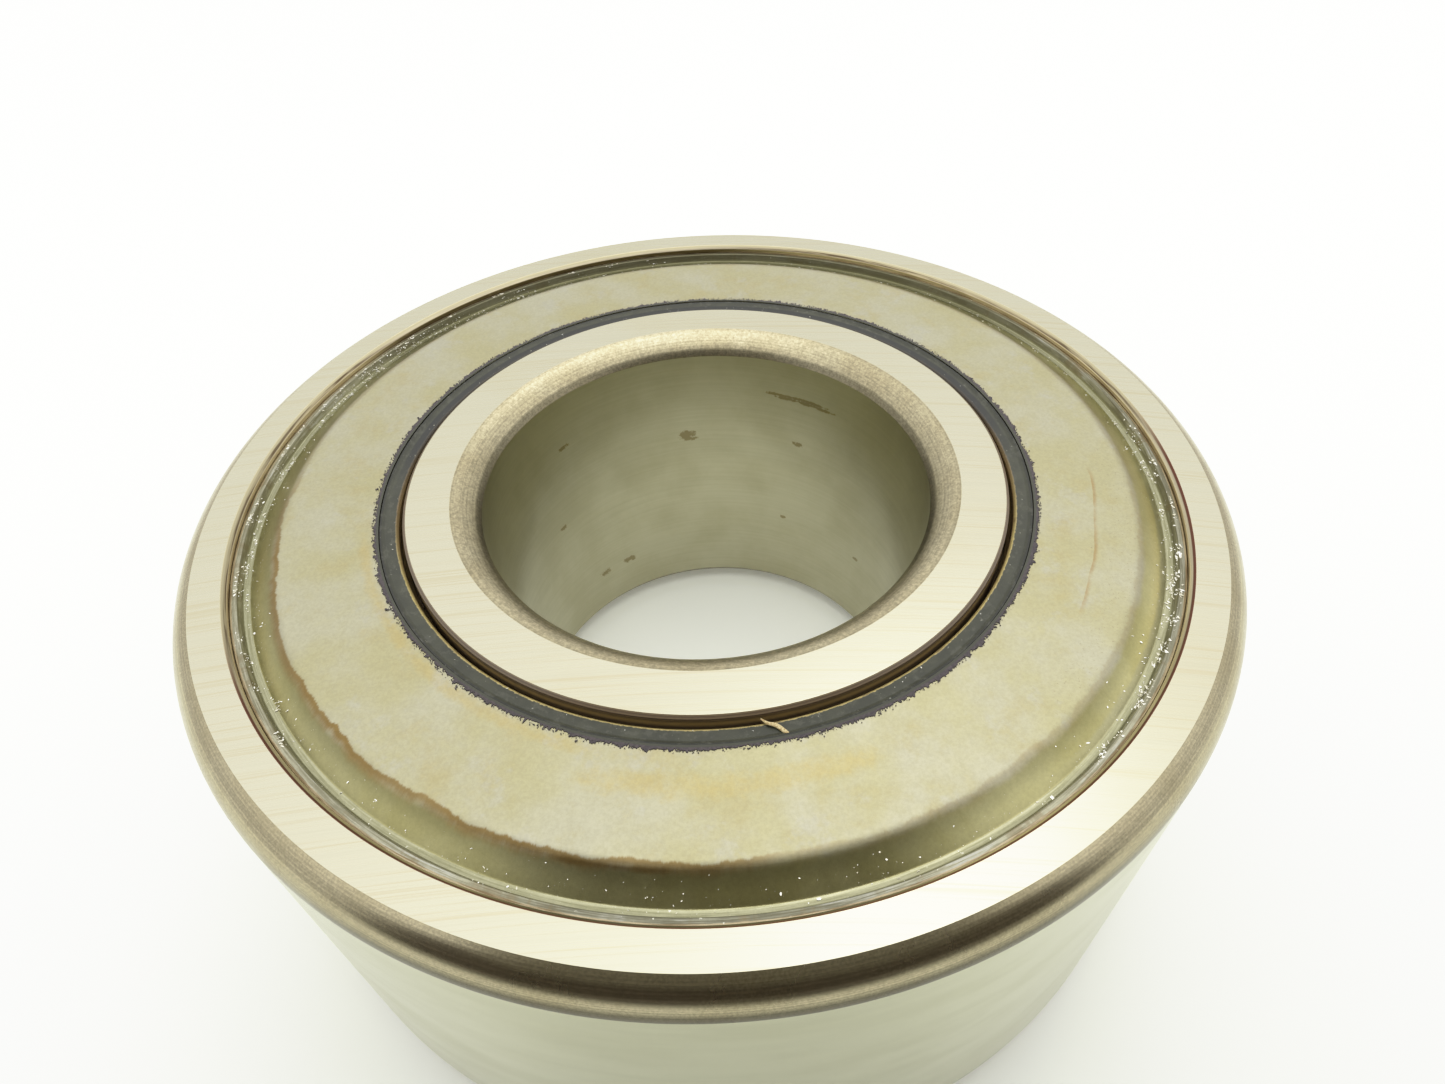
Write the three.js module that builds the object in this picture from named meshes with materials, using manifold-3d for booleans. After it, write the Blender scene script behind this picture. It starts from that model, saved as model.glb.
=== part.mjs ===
// Double-row angular-contact ball bearing, sealed on both sides.
// Millimetres, +Z along the bore axis, origin on that axis at mid width.

import * as THREE from "three";
import { mergeVertices } from "three/addons/utils/BufferGeometryUtils.js";
import Module from "manifold-3d";

const wasm = await Module();
wasm.setup();

// Boundary dimensions
const boreRadius = 20;
const outsideRadius = 45;
const width = 36.5;
const faceZ = width / 2;

// Ball set
const ballCount = 11;
const ballRadius = 7.144;
const pitchRadius = 32.5;
const rowZ = 7.9;
const raceRadius = ballRadius + 0.26;

// Outer ring
const outerCornerWidth = 1.83;
const outerCornerDepth = 2.53;
const outerFaceInnerRadius = 40.66;
const sealSeatRadius = 40.1;
const sealSeatChamfer = 0.4;
const grooveTopDepth = 1.1;
const grooveRadius = 40.8;
const sealShelfDepth = 2.5;
const outerLowShoulderRadius = 38.5;
const outerMiddleRibRadius = 36.5;

// Inner ring
const boreCornerWidth = 2.39;
const boreCornerDepth = 1.86;
const innerFaceOuterRadius = 26.1;
const sealLandRadius = 26.38;
const sealLandChamfer = 0.22;
const sealLandDepth = 3.1;
const innerHighShoulderRadius = 28;
const innerMiddleLandRadius = 26.3;
const shoulderBevel = 0.3;

// Seal case and lip
const sheetThickness = 0.8;
const caseInnerRadius = 28.45;
const caseTopDepth = 0.27;
const caseBendRadius = 36.6;
const channelRadius = 39.05;
const channelOuterRadius = 39.48;
const channelDepth = 1.52;
const rimInnerRadius = 39.78;
const rimRadius = 40.04;
const rimDepth = 0.76;
const beadRadius = 40.65;
const lipFaceDepth = 0.55;
const lipInnerRadius = 26.8;
const lipTipRadius = sealLandRadius + 0.14;
const lipTipDepth = 2.2;
const bondGap = 0.12;

// Cages
const cageInnerRadius = 29.9;
const cageOuterRadius = 36.2;
const cageBackZ = 16.4;
const hornTipZ = 6.7;
const pocketRadius = ballRadius + 0.48;

// Facets
const ringSegments = 48;
const raceSteps = 5;
const cornerSteps = 3;
const ballSegments = 12;
const ballRings = 8;
const pocketSegments = 12;
const pocketRings = 8;

const ringSteel = new THREE.MeshStandardMaterial({ color: 0xd9d4c6, roughness: 0.3, metalness: 1 });
const ballSteel = new THREE.MeshStandardMaterial({ color: 0xdadada, roughness: 0.08, metalness: 1 });
const caseSteel = new THREE.MeshStandardMaterial({ color: 0xa8a190, roughness: 0.42, metalness: 1 });
const sealRubber = new THREE.MeshStandardMaterial({ color: 0x24262c, roughness: 0.6, metalness: 0 });
const cagePolymer = new THREE.MeshStandardMaterial({ color: 0xd8ccaa, roughness: 0.5, metalness: 0 });

const bearing = new THREE.Group();

function addMesh(name, geometry, material) {
  const mesh = new THREE.Mesh(geometry, material);
  mesh.name = name;
  bearing.add(mesh);
  return mesh;
}

// A point of a section, given as its radius and its depth below the end face.
function below(radius, depth) {
  return [radius, faceZ - depth];
}

// Points on an arc about [r, z], angles in degrees from outward to +Z.
function arc(centre, radiusR, radiusZ, fromDegrees, toDegrees, steps) {
  const points = [];
  for (let i = 0; i <= steps; i += 1) {
    const angle = THREE.MathUtils.degToRad(fromDegrees + ((toDegrees - fromDegrees) * i) / steps);
    points.push([centre[0] + radiusR * Math.cos(angle), centre[1] + radiusZ * Math.sin(angle)]);
  }
  return points;
}

// The same section on the other side of the middle plane, run the other way round.
function mirrored(section) {
  return section.map(([radius, z]) => [radius, -z]).reverse();
}

// A ring turned about Z from a section that runs anticlockwise in the r, z plane.
function turned(section) {
  const profile = section.map(([radius, z]) => new THREE.Vector2(radius, z));
  profile.push(profile[0].clone());
  const geometry = new THREE.LatheGeometry(profile, ringSegments);
  geometry.rotateX(Math.PI / 2);
  return geometry;
}

// The angle, in degrees, at which a race about the ball's centre meets a shoulder of this radius.
function raceAngle(shoulderRadius) {
  const reach = Math.abs(shoulderRadius - pitchRadius) / raceRadius;
  return THREE.MathUtils.radToDeg(Math.acos(reach));
}

function outerRingSection() {
  const corner = arc(
    below(outsideRadius - outerCornerWidth, outerCornerDepth),
    outerCornerWidth, outerCornerDepth, 0, 90, cornerSteps);
  const sealSeat = [
    below(outerFaceInnerRadius, 0),
    below(sealSeatRadius, sealSeatChamfer),
    below(sealSeatRadius, grooveTopDepth),
    below(grooveRadius, grooveTopDepth + 0.12),
    below(grooveRadius, sealShelfDepth),
    below(outerLowShoulderRadius, sealShelfDepth),
  ];
  const race = arc(
    [pitchRadius, rowZ], raceRadius, raceRadius,
    raceAngle(outerLowShoulderRadius), -raceAngle(outerMiddleRibRadius), raceSteps);
  const upperHalf = [...corner, ...sealSeat, ...race];
  return [...upperHalf, ...mirrored(upperHalf)];
}

function innerRingSection() {
  const race = arc(
    [pitchRadius, rowZ], raceRadius, raceRadius,
    180 + raceAngle(innerMiddleLandRadius), 180 - raceAngle(innerHighShoulderRadius), raceSteps);
  const sealLand = [
    below(innerHighShoulderRadius, sealLandDepth + shoulderBevel),
    below(innerHighShoulderRadius - shoulderBevel, sealLandDepth),
    below(sealLandRadius, sealLandDepth),
    below(sealLandRadius, sealLandChamfer),
    below(innerFaceOuterRadius, 0),
  ];
  const boreCorner = arc(
    below(boreRadius + boreCornerWidth, boreCornerDepth),
    boreCornerWidth, boreCornerDepth, 90, 180, cornerSteps);
  const upperHalf = [...race, ...sealLand, ...boreCorner];
  return [...upperHalf, ...mirrored(upperHalf)];
}

// The sheet runs flat, dips into a channel and rises to a rim that is crimped into the ring's groove.
function sealCaseSection() {
  const top = [
    below(rimRadius, rimDepth),
    below(rimInnerRadius, rimDepth),
    below(channelOuterRadius, channelDepth),
    below(channelRadius, channelDepth),
    below(caseBendRadius + 0.6, caseTopDepth + 0.3),
    below(caseBendRadius - 0.5, caseTopDepth),
    below(caseInnerRadius, caseTopDepth),
  ];
  const underside = [
    below(caseInnerRadius, caseTopDepth + sheetThickness),
    below(caseBendRadius - 0.7, caseTopDepth + sheetThickness),
    below(caseBendRadius + 0.3, caseTopDepth + 0.3 + sheetThickness),
    below(channelRadius - 0.25, channelDepth + sheetThickness),
    below(rimRadius, channelDepth + sheetThickness),
  ];
  const bead = [
    below(beadRadius, channelDepth + 0.5),
    below(beadRadius, grooveTopDepth + 0.27),
    below(rimRadius, grooveTopDepth + 0.1),
  ];
  return [...top, ...underside, ...bead];
}

// The rubber fills the inner rim of the case, laps under it and reaches down to the seal land.
function sealLipSection() {
  const underCase = caseTopDepth + sheetThickness + bondGap;
  return [
    below(caseInnerRadius - bondGap, lipFaceDepth - 0.05),
    below(lipInnerRadius + 0.2, lipFaceDepth),
    below(lipInnerRadius, lipFaceDepth + 0.2),
    below(lipInnerRadius, lipTipDepth - 0.5),
    below(lipTipRadius, lipTipDepth),
    below(lipTipRadius + 0.2, lipTipDepth + 0.4),
    below(lipInnerRadius + 1.2, lipTipDepth - 0.3),
    below(caseInnerRadius + 0.9, underCase + 0.5),
    below(caseInnerRadius + 0.9, underCase),
    below(caseInnerRadius - bondGap, underCase),
  ];
}

function toManifold(geometry) {
  const bare = geometry.clone();
  bare.deleteAttribute("normal");
  bare.deleteAttribute("uv");
  const merged = mergeVertices(bare, 1e-4);
  const mesh = new wasm.Mesh({
    numProp: 3,
    vertProperties: new Float32Array(merged.attributes.position.array),
    triVerts: new Uint32Array(merged.index.array),
  });
  return new wasm.Manifold(mesh);
}

function toGeometry(solid) {
  const mesh = solid.getMesh();
  const geometry = new THREE.BufferGeometry();
  geometry.setAttribute("position", new THREE.BufferAttribute(mesh.vertProperties, 3));
  geometry.setIndex(new THREE.BufferAttribute(mesh.triVerts, 1));
  geometry.computeVertexNormals();
  return geometry;
}

// Centres of the balls of one row; side is 1 for the upper row and -1 for the lower one.
function ballCentres(side) {
  const pitchAngle = (2 * Math.PI) / ballCount;
  const start = side > 0 ? 0 : pitchAngle / 2;
  const centres = [];
  for (let i = 0; i < ballCount; i += 1) {
    const angle = start + i * pitchAngle;
    centres.push(new THREE.Vector3(
      pitchRadius * Math.cos(angle), pitchRadius * Math.sin(angle), side * rowZ));
  }
  return centres;
}

// A snap cage: a ring behind the balls whose horns reach a little past their centres.
function cageGeometry(side) {
  const section = [
    [cageInnerRadius, hornTipZ],
    [cageOuterRadius, hornTipZ],
    [cageOuterRadius, cageBackZ],
    [cageInnerRadius, cageBackZ],
  ];
  let cage = toManifold(turned(side > 0 ? section : mirrored(section)));
  for (const centre of ballCentres(side)) {
    const pocket = new THREE.SphereGeometry(pocketRadius, pocketSegments, pocketRings);
    pocket.rotateX(Math.PI / 2);
    pocket.translate(centre.x, centre.y, centre.z);
    cage = cage.subtract(toManifold(pocket));
  }
  return toGeometry(cage);
}

function addBalls(rowName, side) {
  const ball = new THREE.SphereGeometry(ballRadius, ballSegments, ballRings);
  ballCentres(side).forEach((centre, index) => {
    const number = String(index + 1).padStart(2, "0");
    addMesh(`ball_${rowName}_${number}`, ball, ballSteel).position.copy(centre);
  });
}

addMesh("outer_ring", turned(outerRingSection()), ringSteel);
addMesh("inner_ring", turned(innerRingSection()), ringSteel);
for (const [rowName, side] of [["upper", 1], ["lower", -1]]) {
  const caseSection = sealCaseSection();
  const lipSection = sealLipSection();
  addMesh(`seal_case_${rowName}`, turned(side > 0 ? caseSection : mirrored(caseSection)), caseSteel);
  addMesh(`seal_lip_${rowName}`, turned(side > 0 ? lipSection : mirrored(lipSection)), sealRubber);
  addMesh(`cage_${rowName}`, cageGeometry(side), cagePolymer);
  addBalls(rowName, side);
}

export default bearing;
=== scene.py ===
"""Looks of a sealed double-row angular-contact ball bearing, lying on one end face."""

import math
import random

import bmesh
import bpy
from mathutils import Euler, Matrix, Vector


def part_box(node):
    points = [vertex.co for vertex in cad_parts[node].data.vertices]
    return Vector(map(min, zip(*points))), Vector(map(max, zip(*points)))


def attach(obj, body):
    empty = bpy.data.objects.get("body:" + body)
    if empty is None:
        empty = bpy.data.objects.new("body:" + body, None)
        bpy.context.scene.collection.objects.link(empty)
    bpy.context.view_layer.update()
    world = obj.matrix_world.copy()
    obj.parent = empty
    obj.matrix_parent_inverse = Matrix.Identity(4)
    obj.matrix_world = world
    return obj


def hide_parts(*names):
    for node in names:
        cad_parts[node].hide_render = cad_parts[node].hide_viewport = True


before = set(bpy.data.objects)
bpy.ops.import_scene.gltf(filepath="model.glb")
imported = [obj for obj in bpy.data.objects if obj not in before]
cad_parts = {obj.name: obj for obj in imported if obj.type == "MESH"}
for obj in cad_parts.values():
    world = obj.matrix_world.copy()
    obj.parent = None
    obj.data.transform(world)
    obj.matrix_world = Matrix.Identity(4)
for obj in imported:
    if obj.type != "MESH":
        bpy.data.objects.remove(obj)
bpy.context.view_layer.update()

# ---------------- sizes, in millimetres

MM = 0.001

# Steps round the axis, along each arc of a section and round a pocket
PIECE_SEGMENTS = 360
CAGE_SEGMENTS = 180
POCKET_SEGMENTS = 40
POCKET_RINGS = 24
CORNER_STEPS = 14
OUTER_RACE_STEPS = 24
INNER_RACE_STEPS = 22
ROUNDING_STEPS = 4

# Straight edges longer than this get extra points, this far from their ends
SHORTEST_HELD = 1.0
HOLD = 0.05

outer_low, outer_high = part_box("outer_ring")
ball_low, ball_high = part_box("ball_upper_01")
_, case_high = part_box("seal_case_upper")
cage_low, cage_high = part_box("cage_upper")

OUTSIDE_RADIUS = outer_high.x / MM
FACE_Z = outer_high.z / MM
ROW_Z = (ball_low.z + ball_high.z) / 2 / MM
PITCH_RADIUS = (ball_low.x + ball_high.x) / 2 / MM
BALL_RADIUS = (ball_high.z - ball_low.z) / 2 / MM
CAGE_OUTER_RADIUS = cage_high.x / MM
CAGE_HORN_Z = cage_low.z / MM
CAGE_BACK_Z = cage_high.z / MM
RACE_RADIUS = BALL_RADIUS + 0.26
BORE_RADIUS = 20.0
BALL_COUNT = sum(1 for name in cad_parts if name.startswith("ball_upper_"))

# Outer ring
OUTER_FACE_RADIUS = 43.17
OUTER_CORNER_DEPTH = 2.53
SEAT_CHAMFER_RADIUS = 40.66
SEAT_RADIUS = 40.34
SEAT_CHAMFER_DEPTH = 0.4
GROOVE_TOP_DEPTH = 1.1
GROOVE_RADIUS = 40.8
SHELF_DEPTH = 2.5
OUTER_SHOULDER_RADIUS = 38.5
OUTER_RIB_RADIUS = 36.5

# Inner ring
BORE_CORNER_DEPTH = 1.86
BORE_CORNER_RADIUS = 22.39
BORE_CORNER_ROUNDING = 3.8
INNER_FACE_RADIUS = 26.1
LAND_RADIUS = 26.38
LAND_CHAMFER_DEPTH = 0.22
LAND_DEPTH = 3.1
INNER_SHOULDER_RADIUS = 28.0
INNER_MIDDLE_RADIUS = 26.3

# Seal case: flat sheet, a sloping channel and a crimped rim
SHEET = 0.8
CASE_INNER_RADIUS = 28.45
CASE_DEPTH = 0.27
BEND_RADIUS = 36.6
CHANNEL_RADIUS = 38.97
CHANNEL_DEPTH = 1.52
CHANNEL_OUTER_RADIUS = 39.48
RIM_INNER_RADIUS = 39.74
RIM_RADIUS = 40.32
RIM_DEPTH = 0.76
BEAD_RADIUS = case_high.x / MM

# Seal lip
BOND_GAP = 0.12
LIP_DEPTH = 0.55
LIP_INNER_RADIUS = 26.8
LIP_TIP_RADIUS = LAND_RADIUS + 0.14
LIP_TIP_DEPTH = 2.2
FLASH_INNER_RADIUS = 28.36
FLASH_OUTER_RADIUS = 28.72

# Where a few bigger crumbs of rubber and flakes of steel have gathered, in degrees round the axis
CRUMB_HEAP_AZIMUTHS = (210, 230, 180, 250, 160)
BIG_FLAKE_AZIMUTHS = (285, 275, 325, 215, 200)
# Where the heaps of small flakes lie: middle azimuth and spread, in degrees
FLAKE_HEAP_SPREADS = ((160, 26), (175, 30), (332, 14))
CRUMB_COUNT = 2400
FLASH_STEPS = 3600

# Azimuth of the side nearest the photographer, and the number of stray spots in the bore
NEAR = 270
STRAY_SPOTS = 6

# Radii where the film of oil on the seal case starts and between which its brown line wanders
OIL_RADIUS = 37.0
TIDE_RADII = (36.3, 36.9)

# Chip of straw: where its inner end lies and how far it runs round and outward from there
STRAW_AZIMUTH = 276
STRAW_TURN = 4
STRAW_INNER_RADIUS = 26.6
STRAW_REACH = 1.7

# Cage
CAGE_INNER_RADIUS = 29.9
POCKET_RADIUS = BALL_RADIUS + 0.3


# ---------------- sections and turned meshes

def arc(centre, radius, start, end, steps, zone):
    """Corners along an arc of a section, angles in degrees from outward towards +Z."""
    corners = []
    for i in range(steps + 1):
        angle = math.radians(start + (end - start) * i / steps)
        outward = centre[0] + radius * math.cos(angle)
        corners.append((outward, centre[1] + radius * math.sin(angle), 0, zone))
    return corners


def race_angle(shoulder_radius):
    """The angle, in degrees, at which a race meets a shoulder of this radius."""
    return math.degrees(math.acos(abs(shoulder_radius - PITCH_RADIUS) / RACE_RADIUS))


def mirrored(section, closing_zone):
    """The corners mirrored in the middle plane, each with the zone of the edge that follows it."""
    lower = []
    for index in reversed(range(len(section))):
        radius, z, rounding, _ = section[index]
        zone = section[index - 1][3] if index else closing_zone
        lower.append((radius, -z, rounding, zone))
    return lower


def for_side(section, side):
    """A section drawn for the upper side, on side 1 (upper) or -1 (lower)."""
    return section if side > 0 else mirrored(section, section[-1][3])


def rounded_corner(before, corner, after, rounding):
    """Points of the small arc that rounds one corner."""
    towards_before = (before - corner).normalized()
    towards_after = (after - corner).normalized()
    half = towards_before.angle(towards_after) / 2
    if rounding == 0 or half > math.radians(89):
        return [corner]
    reach = rounding / math.tan(half)
    centre = corner + (towards_before + towards_after).normalized() * (rounding / math.sin(half))
    first = corner + towards_before * reach - centre
    last = corner + towards_after * reach - centre
    turn = math.atan2(first.x * last.y - first.y * last.x, first.dot(last))
    points = []
    for i in range(ROUNDING_STEPS + 1):
        spin = Matrix.Rotation(turn * i / ROUNDING_STEPS, 2)
        points.append(centre + spin @ first)
    return points


def outline(section):
    """Points of a closed section with the zone of the edge that follows each one.

    A long straight edge gets a point close to each end, which keeps its shading flat."""
    corners = [Vector(corner[:2]) for corner in section]
    rings = []
    for i, (_, _, rounding, zone) in enumerate(section):
        after = corners[(i + 1) % len(corners)]
        bend = rounded_corner(corners[i - 1], corners[i], after, rounding)
        rings.append([(point, zone) for point in bend])
    points = []
    for i, ring in enumerate(rings):
        points.extend(ring)
        start, zone = ring[-1]
        end = rings[(i + 1) % len(rings)][0][0]
        if (end - start).length > SHORTEST_HELD:
            step = (end - start).normalized() * HOLD
            points.append((start + step, zone))
            points.append((end - step, zone))
    return points


def linked(name, data):
    """A new object in the scene."""
    item = bpy.data.objects.new(name, data)
    bpy.context.scene.collection.objects.link(item)
    return item


def finished(mesh, name, materials, sharp_degrees=26):
    """Makes the shown object of a mesh, smooth but for its sharp edges."""
    for material in materials:
        mesh.materials.append(material)
    mesh.shade_smooth()
    mesh.set_sharp_from_angle(angle=math.radians(sharp_degrees))
    return linked(name, mesh)


def mesh_of(name, vertices, faces):
    mesh = bpy.data.meshes.new(name)
    mesh.from_pydata(vertices, [], faces)
    return mesh


def at(angle, radius, z):
    """A point in metres, from an angle round the axis in radians and millimetres."""
    return (radius * math.cos(angle) * MM, radius * math.sin(angle) * MM, z * MM)


def turned_mesh(name, section, zones, segments=PIECE_SEGMENTS):
    """A ring turned about Z from a section that runs anticlockwise in the radius, z plane."""
    points = outline(section)
    count = len(points)
    vertices = []
    for j in range(segments):
        angle = 2 * math.pi * j / segments
        vertices.extend(at(angle, *point) for point, _ in points)
    faces = []
    indices = []
    for j in range(segments):
        here = j * count
        there = (j + 1) % segments * count
        for i in range(count):
            after = (i + 1) % count
            faces.append((here + i, there + i, there + after, here + after))
            indices.append(zones.index(points[i][1]))
    mesh = mesh_of(name, vertices, faces)
    mesh.polygons.foreach_set("material_index", indices)
    return mesh


def place(piece, body, slot_name, *nodes):
    """Fixes a piece to its CAD body, in place of these CAD nodes."""
    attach(piece, body)
    if nodes:
        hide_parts(*nodes)


# ---------------- materials

class Value:
    """A number, vector or colour worked out by a material's nodes, for use in sums and products."""

    def __init__(self, paint, socket):
        self.paint = paint
        self.socket = socket

    def __add__(self, other):
        return self.paint.math("ADD", self, other)

    def __sub__(self, other):
        return self.paint.math("SUBTRACT", self, other)

    def __rsub__(self, other):
        return self.paint.math("SUBTRACT", other, self)

    def __mul__(self, other):
        return self.paint.math("MULTIPLY", self, other)

    def step(self, low, high):
        """0 below low and 1 above high, smooth between, or the reverse where low is the larger."""
        first, last = (1, 0) if low > high else (0, 1)
        inputs = {"Value": self, "From Min": min(low, high), "From Max": max(low, high),
                  "To Min": first, "To Max": last}
        return self.paint.node("MapRange", inputs, interpolation_type="SMOOTHSTEP")

    def band(self, low, high, soft):
        """1 between low and high, falling to 0 within soft of each."""
        return self.step(low - soft, low + soft) * self.step(high + soft, high - soft)

    def between(self, low, high):
        """A number that runs from low to high as this one runs from 0 to 1."""
        return self.paint.math("MULTIPLY_ADD", self, high - low, low)

    def blend(self, low, high, first, second):
        """The colour first where this is below low, second above high, and smooth between."""
        return self.paint.mix(self.step(low, high), first, second)

    def stain(self, where, strength, colour):
        """This colour with a stain of another over it, where the mask is 1."""
        return self.paint.mix(where * strength, self, colour)

    def shade(self, value, low, high):
        """This colour made darker or lighter: low times it where value is 0, high times it where 1."""
        return self.paint.vector("SCALE", self, scale=value.between(low, high))


class Paint:
    """Builds one procedural material. Its places are in millimetres in the piece's own frame."""

    def __init__(self, name, metallic, roughness):
        self.material = bpy.data.materials.new(name)
        self.material.use_nodes = True
        self.tree = self.material.node_tree
        self.shader = self.tree.nodes["Principled BSDF"]
        self.shader.inputs["Metallic"].default_value = metallic
        self.shader.inputs["Roughness"].default_value = roughness
        self.place = self.vector("SCALE", self.node("TexCoord", {}, "Object"), scale=1 / MM)
        split = self.tree.nodes.new("ShaderNodeSeparateXYZ")
        self.feed(self.place, split.inputs[0])
        self.x, self.y, self.z = (Value(self, socket) for socket in split.outputs)
        self.radius = self.length(self.x, self.y)
        self.outward = self.vector("NORMALIZE", self.joined(self.x, self.y, 0))
        self.height = self.math("ABSOLUTE", self.z)

    def feed(self, value, socket):
        if isinstance(value, Value):
            self.tree.links.new(value.socket, socket)
        elif socket.type == "RGBA":
            socket.default_value = (*value, 1)
        else:
            socket.default_value = value

    def node(self, kind, inputs, output=0, **settings):
        """An output of a new node that has these settings and these values at its inputs."""
        node = self.tree.nodes.new("ShaderNode" + kind)
        for setting, choice in settings.items():
            setattr(node, setting, choice)
        for socket, value in inputs.items():
            self.feed(value, node.inputs[socket])
        return Value(self, node.outputs[output])

    def math(self, operation, first, second=0.0, third=0.0, clamp=False):
        inputs = {0: first, 1: second, 2: third}
        return self.node("Math", inputs, operation=operation, use_clamp=clamp)

    def larger(self, first, second):
        return self.math("MAXIMUM", first, second)

    def vector(self, operation, first, second=(0, 0, 0), scale=1.0):
        output = "Value" if operation == "DOT_PRODUCT" else "Vector"
        return self.node("VectorMath", {0: first, 1: second, 3: scale}, output, operation=operation)

    def length(self, first, second):
        return self.math("SQRT", self.math("POWER", first, 2) + self.math("POWER", second, 2))

    def joined(self, x, y, z):
        return self.node("CombineXYZ", {0: x, 1: y, 2: z})

    def rings(self, drift, across):
        """A place for ground or turned lines: it changes with across and only a little round the axis."""
        return self.joined(self.x * drift, self.y * drift, across)

    def noise(self, place, scale, detail, roughness=0.5, seed=0):
        """Noise from 0 to 1 about 0.5; scale is in waves a millimetre."""
        inputs = {"Vector": place, "W": seed, "Scale": scale, "Detail": detail, "Roughness": roughness}
        return self.node("TexNoise", inputs, noise_dimensions="4D")

    def mottle(self, scale, detail, roughness=0.5, seed=0):
        """Noise in the piece's own place."""
        return self.noise(self.place, scale, detail, roughness, seed)

    def flecks(self, scale, low, high, detail=4, roughness=0.7, seed=0):
        """The places where a noise is above high, with soft edges down to low."""
        return self.mottle(scale, detail, roughness, seed).step(low, high)

    def sector(self, centre, half, soft):
        """1 within half degrees of the azimuth centre, falling to 0 over soft degrees."""
        direction = (math.cos(math.radians(centre)), math.sin(math.radians(centre)), 0)
        along = self.vector("DOT_PRODUCT", self.outward, direction)
        low = math.cos(math.radians(min(half + soft, 180)))
        high = math.cos(math.radians(max(half, 0.01)))
        return along.step(low, high)

    def spot(self, azimuth, radius, z, size, squeeze):
        """1 at a place given by azimuth, radius and z, falling to 0 at size millimetres.

        It is squeeze times longer round the axis."""
        angle = math.radians(azimuth)
        centre = (radius * math.cos(angle), radius * math.sin(angle), z)
        away = self.vector("SUBTRACT", self.place, centre)
        across = (-math.sin(angle) / squeeze, math.cos(angle) / squeeze, 0)
        along = self.vector("DOT_PRODUCT", away, across)
        up = self.vector("DOT_PRODUCT", away, (math.cos(angle), math.sin(angle), 1))
        return self.length(along, up).step(size, 0.0)

    def mix(self, factor, first, second):
        """A colour between first and second."""
        return self.node("Mix", {0: factor, 6: first, 7: second}, 2, data_type="RGBA")

    def number(self, factor, first, second):
        """A number between first and second."""
        return self.node("Mix", {0: factor, 2: first, 3: second})

    def bump(self, height, depth):
        """Surface relief; depth is in millimetres."""
        relief = self.node("Bump", {"Strength": 1.0, "Distance": depth * MM, "Height": height})
        self.feed(relief, self.shader.inputs["Normal"])

    def finish(self, colour, roughness=None):
        self.feed(colour, self.shader.inputs["Base Color"])
        if roughness is not None:
            self.feed(roughness, self.shader.inputs["Roughness"])
        return self.material


def ground_face_steel():
    """End faces, surface ground in long, nearly straight scratches."""
    paint = Paint("ground_face_steel", 1.0, 0.25)
    tilted = paint.y + paint.x * 0.045
    bowed = tilted + paint.math("POWER", paint.x, 2) * (1 / 400)
    grain = paint.joined(paint.x * 0.006, bowed, 0)
    coarse = paint.noise(grain, 2.2, 2, seed=1)
    fine = paint.noise(grain, 7.0, 2, 0.6, seed=2)
    cloud = paint.mottle(0.09, 3, seed=3)
    lines = coarse * 0.45 + fine * 0.55
    colour = cloud.blend(0.45, 0.75, (0.53, 0.508, 0.385), (0.515, 0.487, 0.352))
    colour = colour.stain(lines.step(0.5, 0.62), 0.55, (0.44, 0.385, 0.25))
    colour = colour.shade(lines.step(0.3, 0.7), 0.95, 1.03)
    specks = paint.flecks(1.1, 0.735, 0.76, seed=4)
    colour = colour.stain(specks, 0.35, (0.22, 0.17, 0.1))
    paint.bump(lines, 0.0012)
    return paint.finish(colour, lines.between(0.2, 0.34))


def turned_corner_steel(name, smoothest, roughest, dark_edge=False):
    """Rounded corners left as turned and hardened: browner, with fine rings round the axis. Painted shade
    darkens their low part on the near side, and the bore's corner also gets painted light and shade.
    """
    paint = Paint(name, 1.0, smoothest)
    rings = paint.joined(paint.radius, paint.z, 0)
    lines = paint.noise(rings, 7.0, 3, 0.7, seed=11)
    blotch = paint.mottle(0.2, 4, 0.6, seed=12)
    grains = paint.mottle(6.0, 2, seed=13)
    colour = blotch.blend(0.35, 0.7, (0.412, 0.368, 0.245), (0.372, 0.324, 0.205))
    colour = colour.shade(lines.step(0.35, 0.65), 0.8, 1.1)
    colour = colour.shade(grains.step(0.35, 0.65), 0.88, 1.1)
    # Painted shade: the low part of the corner is darker on the near side.
    low = paint.sector(NEAR, 25, 25) * paint.height.step(FACE_Z - 1.3, FACE_Z - 2.0)
    colour = colour.shade(low, 1.0, 0.4)
    if dark_edge:
        stipple = paint.mottle(3.2, 4, 0.7, seed=14)
        colour = colour.shade(stipple.step(0.38, 0.62), 0.8, 1.1)
        # Painted light: lighter on the far side and on the near side.
        bright = paint.larger(paint.sector(105, 35, 30), paint.sector(NEAR, 45, 20))
        colour = colour.shade(bright, 1.0, 1.18)
        # Painted shade: a dark band along the bore's edge, round the far half only.
        edge = paint.sector(80, 110, 20) * paint.radius.step(20.6, 20.25)
        colour = colour.shade(edge, 1.0, 0.6)
    paint.bump(lines, 0.002)
    return paint.finish(colour, blotch.between(smoothest, roughest))


def ground_cylinder_steel():
    """The outside diameter, finely ground round the axis."""
    paint = Paint("ground_cylinder_steel", 1.0, 0.2)
    rings = paint.rings(0.01, paint.z)
    lines = paint.noise(rings, 6.0, 4, 0.7, seed=21)
    smear = paint.noise(paint.joined(paint.x, paint.y, paint.z * 3), 0.12, 3, seed=22)
    colour = smear.blend(0.35, 0.7, (0.56, 0.555, 0.395), (0.53, 0.525, 0.362))
    colour = colour.shade(lines.step(0.3, 0.7), 0.97, 1.02)
    specks = paint.flecks(0.9, 0.75, 0.77, seed=23)
    colour = colour.stain(specks, 0.5, (0.32, 0.26, 0.17))
    paint.bump(lines, 0.0008)
    return paint.finish(colour, smear.between(0.16, 0.28))


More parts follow.
